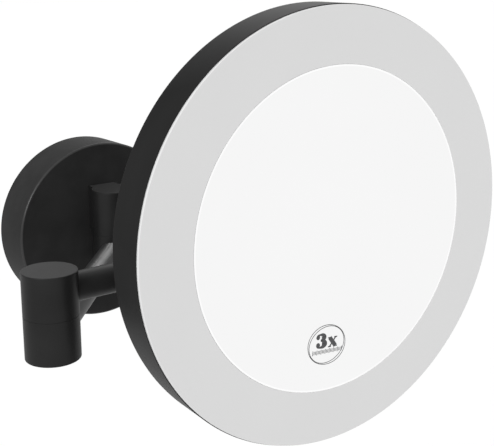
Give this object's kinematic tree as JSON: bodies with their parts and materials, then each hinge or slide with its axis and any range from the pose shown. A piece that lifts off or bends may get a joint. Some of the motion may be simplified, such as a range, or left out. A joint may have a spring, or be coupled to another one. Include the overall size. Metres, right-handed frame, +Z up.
{
  "type": "extendable shaving mirror",
  "caption": "Round lit shaving mirror with a magnifying disc in a light ring, on a folding arm with upright barrel hinges and a round wall plate.",
  "frame": {"origin": "middle of the mounting plate's back face, on the wall", "axes": "+Z up; +Y into the wall, so the mirror faces the room along -Y; +X to the right for someone who faces the wall"},
  "size_m": [0.2273, 0.1953, 0.2],
  "materials": {
    "wall_cover": "satin black moulded cover",
    "hinge_metal": "satin black powder coat",
    "arm_metal": "satin black powder coat",
    "casing": "satin black moulded shell",
    "steel": "zinc plated steel",
    "black_screw": "blackened steel",
    "nylon": "moulded nylon",
    "black_plastic": "moulded plug",
    "white_plastic": "white moulded plastic",
    "grey_plastic": "grey moulded plastic",
    "lead": "flexible lead jacket",
    "board": "white solder mask",
    "lamp": "phosphor-filled light diode",
    "frosted": "frosted light ring, unlit",
    "mirror": "silvered glass",
    "foam": "adhesive foam",
    "mark_ink": "printed mark"
  },
  "bodies": {
    "wall_plate": {"mounting_plate": "steel", "wall_cover": "wall_cover", "cover_screws": "black_screw", "hinge_block": "hinge_metal", "hinge_block_screws": "steel", "led_driver": "white_plastic", "driver_screws": "steel", "terminal_block": "nylon", "wall_lead": "lead", "wall_hinge_pin": "steel", "wall_hinge_washer": "steel", "wall_hinge_nut": "steel"},
    "inner_arm": {"inner_arm_wall_knuckle": "hinge_metal", "inner_arm_tube": "arm_metal", "inner_arm_elbow_knuckle": "hinge_metal", "wall_hinge_bush": "nylon", "elbow_hinge_bush": "nylon", "wall_hinge_plug": "black_plastic", "elbow_hinge_plug": "black_plastic", "inner_arm_lead": "lead"},
    "outer_arm": {"outer_arm_elbow_knuckle": "hinge_metal", "outer_arm_tube": "arm_metal", "outer_arm_head_knuckle": "hinge_metal", "elbow_hinge_pin": "steel", "elbow_hinge_washer": "steel", "elbow_hinge_nut": "steel", "head_hinge_bush": "nylon", "head_hinge_plug": "black_plastic", "outer_arm_lead": "lead"},
    "swivel": {"swivel_block": "hinge_metal", "head_hinge_pin": "steel", "head_hinge_washer": "steel", "head_hinge_nut": "steel", "swivel_lead": "lead"},
    "head": {"tilt_bracket": "hinge_metal", "tilt_pin": "steel", "tilt_washer": "steel", "tilt_nut": "black_screw", "bracket_screws": "black_screw", "hub_plate": "steel", "rear_casing": "casing", "casing_screws": "black_screw", "light_tray": "white_plastic", "led_board": "board", "led_lamps": "lamp", "front_ring": "frosted", "mirror_tray": "grey_plastic", "mirror_pad": "foam", "mirror_glass": "mirror", "magnification_mark": "mark_ink", "head_lead": "lead"}
  },
  "joints": [
    {"name": "wall_hinge", "type": "hinge", "parent": "wall_plate", "child": "inner_arm", "pos_m": [0, -0.0395, 0], "axis": [0, 0, 1], "range_deg": [-48, 131]},
    {"name": "elbow_hinge", "type": "hinge", "parent": "inner_arm", "child": "outer_arm", "pos_m": [-0.08648, -0.13656, 0], "axis": [0, 0, 1], "range_deg": [-130, 15]},
    {"name": "head_swivel", "type": "hinge", "parent": "outer_arm", "child": "swivel", "pos_m": [0.03101, -0.13513, 0], "axis": [0, 0, 1], "range_deg": [-6, 45]},
    {"name": "head_tilt", "type": "hinge", "parent": "swivel", "child": "head", "pos_m": [0.02989, -0.1546, 0.03], "axis": [0.9983, -0.0576, 0], "range_deg": [-25, 25]}
  ]
}
